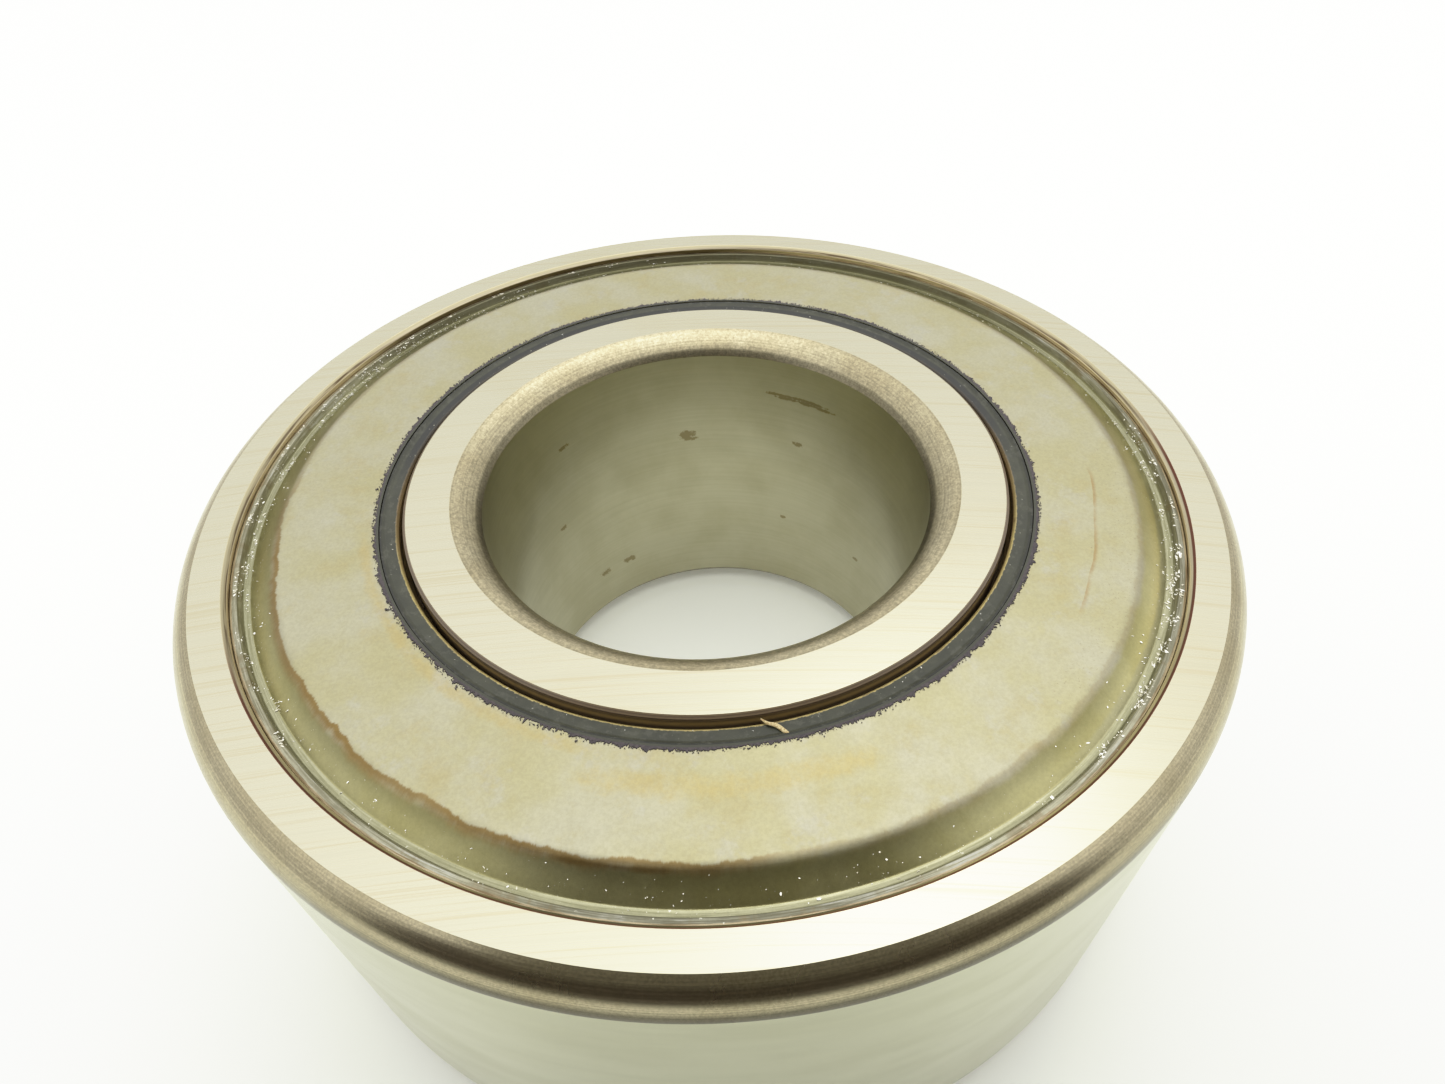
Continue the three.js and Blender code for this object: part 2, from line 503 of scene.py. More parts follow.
def bore_spots():
    """Dried oil in the bore: azimuth, z, size, and how far each spot is drawn out round the bore."""
    blotch = [(95, 6, 0.85, 1.5)]
    streak = [(65 - 3 * step, 12.2 - 0.3 * (step % 2), 0.27, 7.0) for step in range(6)]
    low_pair = [(azimuth, -11, 0.55, 1.8) for azimuth in (130, 120)]
    chance = random.Random(34)
    strays = []
    for _ in range(STRAY_SPOTS):
        strays.append((chance.uniform(20, 160), chance.uniform(-8, 15),
                       chance.uniform(0.25, 0.4), chance.uniform(1, 3)))
    return blotch + streak + low_pair + strays


def bore_steel():
    """The bore, satin, with a few dried spots of oil."""
    paint = Paint("bore_steel", 1.0, 0.3)
    rings = paint.rings(0.02, paint.z)
    lines = paint.noise(rings, 3.0, 4, 0.7, seed=31)
    cloud = paint.mottle(0.16, 4, 0.6, seed=32)
    ragged = paint.mottle(1.9, 6, 0.78, seed=33)
    colour = cloud.blend(0.35, 0.7, (0.478, 0.457, 0.325), (0.428, 0.404, 0.272))
    colour = colour.shade(lines.step(0.3, 0.7), 0.95, 1.03)
    stained = 0.0
    for azimuth, z, size, squeeze in bore_spots():
        spot = paint.spot(azimuth, BORE_RADIUS, z, size * 1.6, squeeze)
        torn = (spot + ragged.step(0.3, 0.7).between(0.1, 0.9)).step(0.95, 1.2)
        stained = paint.larger(stained, torn)
    colour = colour.stain(stained, 0.75, (0.2, 0.155, 0.065))
    paint.bump(lines, 0.001)
    return paint.finish(colour, cloud.between(0.24, 0.38))


def seal_seat_steel():
    """The chamfer and wall outside the seal case: turned, with brown oil in the grooves. Painted light
    and shade vary round the ring: painted shade at the front, a painted highlight along the outer edge
    that turns to a painted dark reflection on the near side, and a wall painted pale except on the far
    side, where it is painted dark.
    """
    paint = Paint("seal_seat_steel", 1.0, 0.34)
    rings = paint.rings(0.02, paint.radius)
    lines = paint.noise(rings, 9.0, 2, 0.6, seed=41)
    drift = paint.noise(paint.outward, 2.0, 4, 0.65, seed=42)
    near = paint.sector(285, 70, 15)
    # Painted shade: a narrow band at the front, where the chamfer is darkened.
    oil_and_painted_shade = paint.sector(268, 12, 12)
    far = paint.sector(112, 24, 18)
    colour = lines.blend(0.44, 0.56, (0.12, 0.085, 0.047), (0.38, 0.325, 0.2))
    colour = colour.stain(drift.step(0.45, 0.65), 0.3, (0.42, 0.365, 0.235))
    # Painted light: the chamfer is lighter on the near and far sides.
    colour = colour.stain(paint.larger(near, far), 0.7, (0.62, 0.56, 0.4))
    colour = colour.shade(oil_and_painted_shade, 1.0, 0.22)
    # Painted highlight along the chamfer's outer edge, which turns to a painted dark reflection on the
    # near side.
    edge = paint.radius.step(SEAT_CHAMFER_RADIUS - 0.17, SEAT_CHAMFER_RADIUS - 0.1)
    colour = paint.mix(edge, colour, paint.mix(near, (0.48, 0.43, 0.28), (0.14, 0.06, 0.04)))
    # Painted light on the wall and its foot: pale, except on the far side, where they are painted dark.
    depth = FACE_Z - paint.height
    colour = depth.blend(0.32, 0.4, colour, paint.mix(far, (0.68, 0.59, 0.41), (0.2, 0.16, 0.09)))
    colour = depth.blend(0.55, 0.6, colour, paint.mix(far, (0.75, 0.68, 0.5), (0.2, 0.17, 0.1)))
    paint.bump(lines, 0.006)
    return paint.finish(colour, drift.between(0.28, 0.4))


def seal_land_steel():
    """The bevel and land that the lip runs on, under a film of old brown grease."""
    paint = Paint("seal_land_steel", 0.0, 0.3)
    lines = paint.noise(paint.joined(paint.radius, paint.z, 0), 6.0, 2, 0.6, seed=45)
    depth = FACE_Z - paint.height
    colour = lines.blend(0.42, 0.58, (0.1, 0.07, 0.045), (0.24, 0.175, 0.1))
    colour = paint.mix(depth.band(0.6, 1.0, 0.2), colour, (0.46, 0.33, 0.14))
    paint.bump(lines, 0.003)
    return paint.finish(colour)


def race_steel():
    """Raceways and the surfaces inside, honed and bright."""
    paint = Paint("race_steel", 1.0, 0.12)
    rings = paint.joined(paint.radius, paint.z, 0)
    lines = paint.noise(rings, 5.0, 2, seed=51)
    colour = paint.joined(0.74, 0.73, 0.68).shade(lines.step(0.3, 0.7), 0.96, 1.02)
    paint.bump(lines, 0.0006)
    return paint.finish(colour, lines.between(0.08, 0.18))


def case_flat_colour(paint, cloud, patch):
    """The flat sheet: grey where wiped, yellow where old oil has dried on it."""
    flat = cloud.blend(0.35, 0.65, (0.405, 0.388, 0.285), (0.385, 0.36, 0.22))
    flat = flat.stain(patch.step(0.5, 0.7), 0.55, (0.39, 0.34, 0.18))
    torn = paint.mottle(0.75, 6, 0.7, seed=74)
    pool = paint.sector(271, 15, 11) * paint.radius.band(29.7, 33.2, 1.6)
    pool = (pool + torn).step(1.2, 1.7)
    flat = flat.stain(pool, 0.7, (0.405, 0.33, 0.14))
    near_lip = paint.sector(222, 26, 16) * paint.radius.band(28.6, 30.4, 1.0)
    near_lip = (near_lip + torn).step(1.15, 1.6)
    flat = flat.stain(near_lip, 0.55, (0.41, 0.33, 0.14))
    grey = paint.flecks(0.35, 0.54, 0.66, detail=5, roughness=0.65, seed=75)
    return flat.stain(grey, 0.45, (0.4, 0.39, 0.33))


def tide_amount(paint, patch, upper):
    """Where dried oil has left a brown line round the bend, strongest on one side."""
    wander = paint.noise(paint.outward, 5.0, 7, 0.75, seed=64)
    depth = paint.noise(paint.outward, 3.0, 4, 0.6, seed=69)
    start = wander.step(0.34, 0.66).between(*TIDE_RADII)
    tide = paint.radius - start
    line = tide.step(-0.14, 0.06) * tide.step(0.9, 0.12)
    left = paint.sector(224, 30, 26)
    front = paint.sector(262, 6, 10) * 0.9
    strong = paint.larger(left, front) * upper * depth.between(0.45, 1.45)
    return paint.math("MULTIPLY", line, paint.larger(strong, patch * 0.45), clamp=True)


def channel_colour(paint, cloud, oil_start):
    """The slope down to the channel under old olive oil, paler in one patch where it has been wiped.
    Painted light makes it lighter towards the channel floor and on the right, and painted shade darkens
    it up the slope and on the near left.
    """
    olive = cloud.blend(0.35, 0.65, (0.35, 0.328, 0.17), (0.31, 0.286, 0.13))
    # Painted light and shade: lighter towards the channel floor, darker up the slope.
    olive = olive.shade(paint.radius.step(37.2, 38.4), 0.86, 1.2)
    # Painted light on the right and painted shade on the near left.
    olive = olive.shade(paint.sector(20, 45, 25), 1.0, 1.45)
    olive = olive.shade(paint.sector(240, 15, 15), 1.0, 0.82)
    bleached = paint.sector(332, 16, 14) * oil_start.step(38.25, 38.6)
    return olive.stain(bleached, 0.6, (0.42, 0.41, 0.27))


def case_marks(paint, colour, patch, upper):
    """Marks seen on the upper case: a puddle at the bend, freckles and one brown streak."""
    at_bend = paint.radius.band(OIL_RADIUS - 0.25, OIL_RADIUS + 0.3, 0.3)
    puddle = paint.sector(259, 4, 5) * at_bend * upper
    puddle = (puddle + patch).step(1.0, 1.6)
    colour = colour.stain(puddle, 0.75, (0.15, 0.095, 0.03))
    freckles = paint.flecks(5.0, 0.6, 0.66, detail=3, seed=76)
    freckled = paint.sector(335, 20, 10)
    freckles = freckles * freckled * paint.radius.band(34.3, BEND_RADIUS, 0.6) * upper
    colour = colour.stain(freckles, 0.5, (0.2, 0.165, 0.1))
    streak_wander = paint.noise(paint.outward, 5.0, 4, seed=65)
    streak_radius = paint.radius - streak_wander.between(32.6, 34.0)
    streak = streak_radius.step(0.0, 0.06) * streak_radius.step(0.42, 0.1)
    streak = streak * paint.sector(340, 11, 5) * upper * patch.step(0.35, 0.55)
    return colour.stain(streak, 0.6, (0.3, 0.2, 0.08))


def rim_colour(paint, scratches, rim_dirt):
    """The crimped rim: scratched round the axis, dirty in places, and wiped bright with painted glints in
    others. Painted shade darkens it on the right and at the front.
    """
    colour = scratches.blend(0.4, 0.6, (0.23, 0.218, 0.15), (0.38, 0.37, 0.275))
    # Painted shade on the right and at the front.
    colour = colour.shade(paint.sector(15, 45, 20), 1.0, 0.76)
    colour = colour.shade(paint.sector(268, 10, 12), 1.0, 0.65)
    colour = colour.stain(rim_dirt.step(0.52, 0.6), 0.5, (0.2, 0.16, 0.09))
    # Wiped steel, painted pale so that it also shows as painted glints.
    wiped_and_glints = paint.noise(paint.outward, 4.0, 4, 0.7, seed=71)
    wiped_and_glints = wiped_and_glints.step(0.5, 0.58) * scratches.step(0.5, 0.58)
    return colour.stain(wiped_and_glints, 0.6, (0.42, 0.42, 0.39))


def seal_case_steel():
    """Cold-rolled sheet: dull and stained on the flat, oily in the channel, scuffed on the rim. Painted
    shade darkens the channel and rim on the far side.
    """
    paint = Paint("seal_case_steel", 1.0, 0.42)
    radius = paint.radius
    upper = paint.z.step(-1.0, 1.0)
    cloud = paint.mottle(0.16, 4, 0.6, seed=61)
    patch = paint.mottle(0.3, 6, 0.65, seed=62)
    grain = paint.mottle(4.5, 3, 0.7, seed=63)
    rings = paint.joined(radius, paint.x * 0.03, paint.y * 0.03)
    scratches = paint.noise(rings, 8.0, 3, 0.7, seed=66)
    flat = case_flat_colour(paint, cloud, patch)
    oil_start = radius + (patch - 0.5) * 0.8
    olive = channel_colour(paint, cloud, oil_start)
    colour = oil_start.blend(OIL_RADIUS - 0.25, OIL_RADIUS + 0.25, flat, olive)
    colour = paint.mix(tide_amount(paint, patch, upper), colour, (0.235, 0.163, 0.064))
    colour = case_marks(paint, colour, patch, upper)

    # Painted shade: the channel, its floor and the rim are darker on the far side.
    far = paint.sector(88, 45, 22)
    colour = colour.shade(far * radius.step(36.9, 37.5), 1.0, 0.72)
    floor_colour = scratches.blend(0.4, 0.6, (0.27, 0.263, 0.158), (0.36, 0.352, 0.235))
    floor_colour = floor_colour.stain(far, 0.75, (0.17, 0.162, 0.085))
    colour = radius.blend(CHANNEL_RADIUS - 0.03, CHANNEL_RADIUS + 0.03, colour, floor_colour)
    rim_dirt = paint.noise(paint.outward, 12.0, 5, 0.7, seed=70)
    on_rim = radius.step(CHANNEL_OUTER_RADIUS, CHANNEL_OUTER_RADIUS + 0.1)
    colour = paint.mix(on_rim, colour, rim_colour(paint, scratches, rim_dirt))
    colour = colour.stain(far * on_rim, 0.75, (0.115, 0.107, 0.06))
    rim_brown = scratches.blend(0.42, 0.58, (0.2, 0.15, 0.085), (0.42, 0.36, 0.24))
    brown_start = radius + rim_dirt * 0.25
    colour = brown_start.blend(RIM_RADIUS - 0.12, RIM_RADIUS - 0.04, colour, rim_brown)
    colour = colour.shade(grain.step(0.3, 0.7), 0.93, 1.05)

    dirt = paint.flecks(1.4, 0.735, 0.76, roughness=0.75, seed=67)
    colour = colour.stain(dirt, 0.55, (0.12, 0.09, 0.05))
    shine = paint.flecks(3.0, 0.67, 0.7, detail=3, seed=68)
    shine = shine * radius.step(37.6, 38.6)
    colour = colour.stain(shine, 0.7, (0.7, 0.69, 0.6))
    # Only the oil film's smoother roughness here; no shade is painted.
    oil_and_painted_shade = radius.step(36.7, 37.3).between(0.47, 0.33)
    roughness = oil_and_painted_shade + (patch - 0.5) * 0.2
    roughness = paint.larger(roughness, radius.step(39.0, 39.2) * 0.5)
    scuffed = scratches * radius.step(CHANNEL_RADIUS, CHANNEL_RADIUS + 0.1)
    paint.bump(grain * 0.5 + scuffed * 0.7, 0.004)
    return paint.finish(colour, roughness)


def seal_rubber():
    """Moulded rubber, charcoal, dusty, with brown grease along its inner edge. Painted shade darkens its
    outer band by the case and its inner band on the far side, and a gold line on the grease is a painted
    highlight on the near half.
    """
    paint = Paint("seal_rubber", 0.0, 0.5)
    cloud = paint.mottle(0.6, 4, 0.6, seed=71)
    grain = paint.mottle(5.0, 3, 0.6, seed=72)
    depth = FACE_Z - paint.height
    colour = cloud.blend(0.35, 0.7, (0.03, 0.0315, 0.018), (0.052, 0.0535, 0.032))
    # Painted shade: the outer band next to the case is darker.
    edge = (paint.radius + cloud * 0.1).step(28.26, 28.12)
    colour = colour.shade(edge, 0.38, 1.0)
    across = paint.joined(paint.x, paint.y, paint.radius)
    smudge = paint.noise(across, 1.1, 5, 0.7, seed=77)
    colour = colour.stain(smudge.step(0.52, 0.62), 0.5, (0.085, 0.085, 0.062))
    jagged = cloud * 0.16 + grain * 0.3
    inside = (paint.radius + jagged).step(27.32, 27.24)
    colour = paint.mix(inside, colour, (0.17, 0.12, 0.055))
    # A gold grease line, drawn on the near half only as a painted highlight.
    grease_and_highlight = inside * depth.step(LIP_DEPTH + 0.22, LIP_DEPTH + 0.12) * paint.sector(272, 62, 25)
    thin = (paint.radius + jagged).step(27.12, 27.2)
    grease_and_highlight = grease_and_highlight * thin.between(0.45, 1.0)
    # Painted shade: the inner band is nearly black on the far side.
    black = paint.sector(90, 75, 20) * paint.radius.step(27.75, 27.6) * 0.8
    colour = paint.mix(black, colour, (0.012, 0.012, 0.012))
    colour = paint.mix(grease_and_highlight * cloud.step(0.25, 0.45), colour, (0.47, 0.385, 0.15))
    dust = paint.flecks(2.4, 0.68, 0.71, detail=3, seed=73)
    colour = colour.stain(dust, 0.6, (0.4, 0.4, 0.33))
    roughness = paint.number(inside, cloud.between(0.4, 0.58), 0.24)
    paint.bump(grain + cloud * 3, 0.008)
    return paint.finish(colour, roughness)


def flash_rubber():
    """The torn skin of rubber that the mould left on the steel."""
    paint = Paint("flash_rubber", 0.0, 0.6)
    grain = paint.mottle(4.0, 4, 0.7, seed=81)
    torn = grain.blend(0.35, 0.65, (0.036, 0.028, 0.032), (0.075, 0.058, 0.06))
    near_lip = (paint.radius + grain * 0.2).step(28.7, 28.6)
    colour = paint.mix(near_lip, torn, (0.05, 0.051, 0.034))
    paint.bump(grain, 0.01)
    return paint.finish(colour)


def grit_steel():
    """Bright specks of steel."""
    paint = Paint("grit_steel", 1.0, 0.35)
    tone = paint.mottle(2.0, 2, seed=86)
    colour = tone.blend(0.4, 0.6, (0.85, 0.84, 0.78), (0.6, 0.57, 0.45))
    return paint.finish(colour, tone.between(0.25, 0.5))


def dry_straw():
    """Pale brown straw."""
    paint = Paint("dry_straw", 0.0, 0.6)
    fibres = paint.mottle(6.0, 3, 0.6, seed=88)
    colour = fibres.blend(0.35, 0.65, (0.42, 0.3, 0.12), (0.72, 0.6, 0.34))
    paint.bump(fibres, 0.01)
    return paint.finish(colour)


def ball_steel():
    """Lapped bearing steel with the faintest marks."""
    paint = Paint("ball_steel", 1.0, 0.05)
    marks = paint.mottle(0.8, 4, seed=91)
    colour = paint.joined(0.8, 0.8, 0.79).shade(marks, 0.96, 1.03)
    return paint.finish(colour, marks.between(0.03, 0.09))


def cage_polymer():
    """Moulded polyamide with short glass fibres, cream and slightly mottled."""
    paint = Paint("cage_polymer", 0.0, 0.45)
    flow = paint.mottle(0.3, 4, seed=101)
    fibres = paint.noise(paint.joined(paint.x, paint.y * 0.3, paint.z), 3.5, 3, seed=102)
    colour = flow.blend(0.35, 0.7, (0.72, 0.64, 0.45), (0.64, 0.55, 0.36))
    colour = colour.shade(fibres.step(0.3, 0.7), 0.95, 1.03)
    paint.bump(fibres, 0.006)
    return paint.finish(colour, flow.between(0.4, 0.55))


# ---------------- pieces

def below(radius, depth, rounding=0.0, zone="all"):
    """A corner of a section, given by its depth below the end face."""
    return (radius, FACE_Z - depth, rounding, zone)


def outer_ring_section():
    width = OUTSIDE_RADIUS - OUTER_FACE_RADIUS
    corner_radius = (width ** 2 + OUTER_CORNER_DEPTH ** 2) / (2 * width)
    centre = (OUTSIDE_RADIUS - corner_radius, FACE_Z - OUTER_CORNER_DEPTH)
    end = math.degrees(math.asin(OUTER_CORNER_DEPTH / corner_radius))
    corner = arc(centre, corner_radius, 0, end, CORNER_STEPS, "corner")
    corner[-1] = (*corner[-1][:3], "face")
    seat = [
        below(SEAT_CHAMFER_RADIUS, 0, 0.08, "seat"),
        below(SEAT_RADIUS, SEAT_CHAMFER_DEPTH, 0.15, "seat"),
        below(SEAT_RADIUS, GROOVE_TOP_DEPTH, 0.05, "seat"),
        below(GROOVE_RADIUS, GROOVE_TOP_DEPTH + 0.12, 0.1, "seat"),
        below(GROOVE_RADIUS, SHELF_DEPTH, 0.2, "seat"),
        below(OUTER_SHOULDER_RADIUS, SHELF_DEPTH, 0.2, "race"),
    ]
    race = arc((PITCH_RADIUS, ROW_Z), RACE_RADIUS, race_angle(OUTER_SHOULDER_RADIUS),
               -race_angle(OUTER_RIB_RADIUS), OUTER_RACE_STEPS, "race")
    upper = corner + seat + race
    return upper + mirrored(upper, "cylinder")


def inner_ring_section():
    race = arc((PITCH_RADIUS, ROW_Z), RACE_RADIUS, 180 + race_angle(INNER_MIDDLE_RADIUS),
               180 - race_angle(INNER_SHOULDER_RADIUS), INNER_RACE_STEPS, "race")
    land = [
        below(INNER_SHOULDER_RADIUS, LAND_DEPTH, 0.25, "race"),
        below(LAND_RADIUS, LAND_DEPTH, 0.15, "land"),
        below(LAND_RADIUS, LAND_CHAMFER_DEPTH, 0.05, "land"),
        below(INNER_FACE_RADIUS, 0, 0.04, "face"),
    ]
    chord = math.hypot(BORE_CORNER_RADIUS - BORE_RADIUS, BORE_CORNER_DEPTH)
    tilt = math.degrees(math.atan2(BORE_CORNER_DEPTH, BORE_CORNER_RADIUS - BORE_RADIUS))
    half = math.degrees(math.asin(chord / 2 / BORE_CORNER_ROUNDING))
    start = 90 + tilt - half
    centre = (BORE_CORNER_RADIUS - BORE_CORNER_ROUNDING * math.cos(math.radians(start)),
              FACE_Z - BORE_CORNER_ROUNDING * math.sin(math.radians(start)))
    corner = arc(centre, BORE_CORNER_ROUNDING, start, start + 2 * half, CORNER_STEPS, "corner")
    corner[-1] = (*corner[-1][:3], "bore")
    upper = race + land + corner
    return upper + mirrored(upper, "race")


def seal_case_section():
    return [
        below(RIM_RADIUS, RIM_DEPTH, 0.08),
        below(RIM_INNER_RADIUS, RIM_DEPTH - 0.03, 0.1),
        below(CHANNEL_OUTER_RADIUS, CHANNEL_DEPTH - 0.04, 0.12),
        below(CHANNEL_RADIUS, CHANNEL_DEPTH, 0.3),
        below(BEND_RADIUS, CASE_DEPTH, 1.6),
        below(CASE_INNER_RADIUS, CASE_DEPTH, 0.12),
        below(CASE_INNER_RADIUS, CASE_DEPTH + SHEET, 0.12),
        below(BEND_RADIUS - 0.2, CASE_DEPTH + SHEET, 2.2),
        below(CHANNEL_RADIUS - 0.25, CHANNEL_DEPTH + SHEET, 0.3),
        below(RIM_RADIUS - 0.1, CHANNEL_DEPTH + SHEET, 0.2),
        below(BEAD_RADIUS, CHANNEL_DEPTH + 0.5, 0.25),
        below(BEAD_RADIUS, GROOVE_TOP_DEPTH + 0.27, 0.15),
        below(RIM_RADIUS, GROOVE_TOP_DEPTH + 0.1, 0.05),
    ]


def seal_lip_section():
    under_case = CASE_DEPTH + SHEET + BOND_GAP
    return [
        below(CASE_INNER_RADIUS - BOND_GAP, CASE_DEPTH + 0.02, 0.05),
        below(CASE_INNER_RADIUS - 0.3, CASE_DEPTH + 0.08, 0.15),
        below(CASE_INNER_RADIUS - 0.55, LIP_DEPTH - 0.04, 0.3),
        below(LIP_INNER_RADIUS + 0.2, LIP_DEPTH, 0.12),
        below(LIP_INNER_RADIUS, LIP_DEPTH + 0.2, 0.12),
        below(LIP_INNER_RADIUS, LIP_TIP_DEPTH - 0.5, 0.3),
        below(LIP_TIP_RADIUS, LIP_TIP_DEPTH, 0.04),
        below(LIP_TIP_RADIUS + 0.2, LIP_TIP_DEPTH + 0.4, 0.1),
        below(LIP_INNER_RADIUS + 1.2, LIP_TIP_DEPTH - 0.3, 0.4),
        below(CASE_INNER_RADIUS + 0.9, under_case + 0.5, 0.15),
        below(CASE_INNER_RADIUS + 0.9, under_case, 0.1),
        below(CASE_INNER_RADIUS - BOND_GAP, under_case, 0.1),
    ]


def ragged_edge(seed, count):
    """Outer radii of the torn flash, one for each of count steps round the seal."""
    chance = random.Random(seed)
    radii = []
    drift = 0.0
    for _ in range(count):
        drift = drift * 0.97 + chance.uniform(-0.026, 0.026)
        radii.append(FLASH_OUTER_RADIUS + drift + chance.uniform(-0.13, 0.13) * chance.random())
    for _ in range(count // 7):
        middle = chance.randrange(count)
        height = chance.uniform(0.03, 0.24) * chance.random() + 0.02
        width = chance.choice((1, 1, 2, 2, 3, 5))
        for offset in range(-width, width + 1):
            swell = height * math.cos(offset / (width + 1) * math.pi / 2)
            radii[(middle + offset) % count] += swell * chance.uniform(0.7, 1.1)
    return radii


class Lumps:
    """Many small torn or broken grains in one mesh, each a closed twelve-cornered lump."""

    def __init__(self, seed):
        self.chance = random.Random(seed)
        self.vertices = []
        self.faces = []
        shape = bmesh.new()
        bmesh.ops.create_icosphere(shape, subdivisions=1, radius=1.0)
        self.corners = [Vector(vertex.co) for vertex in shape.verts]
        self.triangles = [tuple(vertex.index for vertex in face.verts) for face in shape.faces]
        shape.free()

    def add(self, azimuth, radius, z, size, longer=1.5, flatter=0.45):
        """A grain of about this size, in millimetres, lying at an azimuth and radius."""
        angle = math.radians(azimuth)
        centre = Vector((radius * math.cos(angle), radius * math.sin(angle), z))
        spin = Matrix.Rotation(self.chance.uniform(0, 2 * math.pi), 3, "Z")
        length = size * self.chance.uniform(0.7, longer)
        stretch = Matrix.Diagonal((length, size * self.chance.uniform(0.6, 1.0), size * flatter))
        first = len(self.vertices)
        for corner in self.corners:
            point = centre + spin @ (stretch @ (corner * self.chance.uniform(0.75, 1.15)))
            self.vertices.append(point * MM)
        for triangle in self.triangles:
            self.faces.append(tuple(first + index for index in triangle))


def flash_mesh(name, side):
    """The torn rubber skin round the lip, a thin closed ring with a ragged edge, and loose crumbs."""
    seed = 7 if side > 0 else 8
    radii = ragged_edge(seed, FLASH_STEPS)
    face = FACE_Z - CASE_DEPTH
    low = face + 0.012
    high = face + 0.075
    middle = face + 0.055
    lumps = Lumps(seed + 10)
    for i, radius in enumerate(radii):
        angle = 2 * math.pi * i / FLASH_STEPS
        for r, z in ((FLASH_INNER_RADIUS, low), (radius, low), (radius - 0.03, middle),
                     (FLASH_INNER_RADIUS + 0.08, high), (FLASH_INNER_RADIUS, middle)):
            lumps.vertices.append(at(angle, r, side * z))
    for i in range(FLASH_STEPS):
        here = 5 * i
        there = 5 * ((i + 1) % FLASH_STEPS)
        for j in range(5):
            after = (j + 1) % 5
            quad = (here + j, there + j, there + after, here + after)
            lumps.faces.append(quad if side > 0 else tuple(reversed(quad)))
    chance = lumps.chance
    crumbs = []
    for _ in range(CRUMB_COUNT):
        radius = FLASH_OUTER_RADIUS + abs(chance.gauss(0, 0.12))
        crumbs.append((chance.uniform(0, 360), radius, 0.018 + 0.065 * chance.random() ** 2))
    if side > 0:
        for heap in CRUMB_HEAP_AZIMUTHS:
            for _ in range(chance.randrange(1, 5)):
                azimuth = chance.gauss(heap, 0.3)
                crumbs.append((azimuth, chance.uniform(29.0, 29.2), chance.uniform(0.06, 0.13)))
    for azimuth, radius, size in crumbs:
        lumps.add(azimuth, radius, side * (face + 0.02 + size * 0.45), size)
    return mesh_of(name, lumps.vertices, lumps.faces)


def case_depth(radius):
    """Depth of the case's outer surface below the end face, at a radius."""
    start, start_depth = 0, CASE_DEPTH
    for end, end_depth in ((BEND_RADIUS, CASE_DEPTH), (CHANNEL_RADIUS, CHANNEL_DEPTH),
                           (CHANNEL_OUTER_RADIUS, CHANNEL_DEPTH), (RIM_INNER_RADIUS, RIM_DEPTH)):
        if radius < end:
            return start_depth + (radius - start) / (end - start) * (end_depth - start_depth)
        start, start_depth = end, end_depth
    return RIM_DEPTH


def grit_mesh(name, side):
    """Bright flakes and grains caught in the channel, and dust on the rubber."""
    lumps = Lumps(31 if side > 0 else 32)
    chance = lumps.chance
    flake_count, heap_count, dust_count = (900, 150, 90) if side > 0 else (300, 20, 30)
    flakes = []
    for _ in range(flake_count):
        radius = min(chance.triangular(37.0, 39.9, 39.2), 39.9)
        flakes.append((chance.uniform(0, 360), radius, 0.016 + 0.06 * chance.random() ** 3))
    for _ in range(heap_count):
        heap = chance.choice([chance.gauss(*spread) for spread in FLAKE_HEAP_SPREADS])
        heap_radius = chance.gauss(39.55, 0.2)
        for _ in range(chance.randrange(4, 16)):
            radius = min(chance.gauss(heap_radius, 0.1), 39.95)
            flakes.append((chance.gauss(heap, 0.6), radius, 0.035 + 0.09 * chance.random() ** 2))
    if side > 0:
        for heap in BIG_FLAKE_AZIMUTHS:
            for _ in range(2):
                azimuth = chance.gauss(heap, 1.5)
                flakes.append((azimuth, chance.uniform(37.5, 39.5), chance.uniform(0.07, 0.13)))
    for azimuth, radius, size in flakes:
        lumps.add(azimuth, radius, side * (FACE_Z - case_depth(radius) + size * 0.4), size, 2.4, 0.4)
    for _ in range(dust_count):
        size = 0.018 + 0.035 * chance.random() ** 2
        z = side * (FACE_Z - LIP_DEPTH + size * 0.4)
        lumps.add(chance.uniform(0, 360), chance.uniform(27.0, 28.1), z, size, 2.4)
    return mesh_of(name, lumps.vertices, lumps.faces)


def straw_mesh(name):
    """A chip of straw lying across the rubber: a closed, flattened tube, thin at both ends."""
    sides = 8
    vertices = []
    faces = []
    steps = 14
    for i in range(steps + 1):
        along = i / steps
        angle = math.radians(STRAW_AZIMUTH + STRAW_TURN * along)
        radius = STRAW_INNER_RADIUS + STRAW_REACH * along + 0.1 * math.sin(along * 9)
        z = FACE_Z - LIP_DEPTH + 0.14 + 0.05 * math.sin(along * 5)
        half_width = 0.05 + 0.2 * math.sin(math.pi * min(1.0, along * 0.6 + 0.32)) * along ** 0.6
        half_width *= 1.0 - 0.75 * max(0.0, along - 0.8) / 0.2
        for j in range(sides):
            turn = 2 * math.pi * j / sides
            sideways = half_width * math.cos(turn)
            r = radius + sideways * 0.75
            vertices.append(((r * math.cos(angle) + sideways * math.sin(angle) * 0.66) * MM,
                             (r * math.sin(angle) - sideways * math.cos(angle) * 0.66) * MM,
                             (z + half_width * 0.55 * math.sin(turn)) * MM))
    for i in range(steps):
        for j in range(sides):
            after = (j + 1) % sides
            here = sides * i
            faces.append((here + j, here + after, here + sides + after, here + sides + j))
    faces.append(tuple(reversed(range(sides))))
    faces.append(tuple(range(sides * steps, sides * (steps + 1))))
    return mesh_of(name, vertices, faces)


def ball_centres(side):
    """Ball centres of one row, in metres, in the order of the CAD nodes."""
    row = "upper" if side > 0 else "lower"
    boxes = [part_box(f"ball_{row}_{number:02d}") for number in range(1, BALL_COUNT + 1)]
    return [(low + high) / 2 for low, high in boxes]


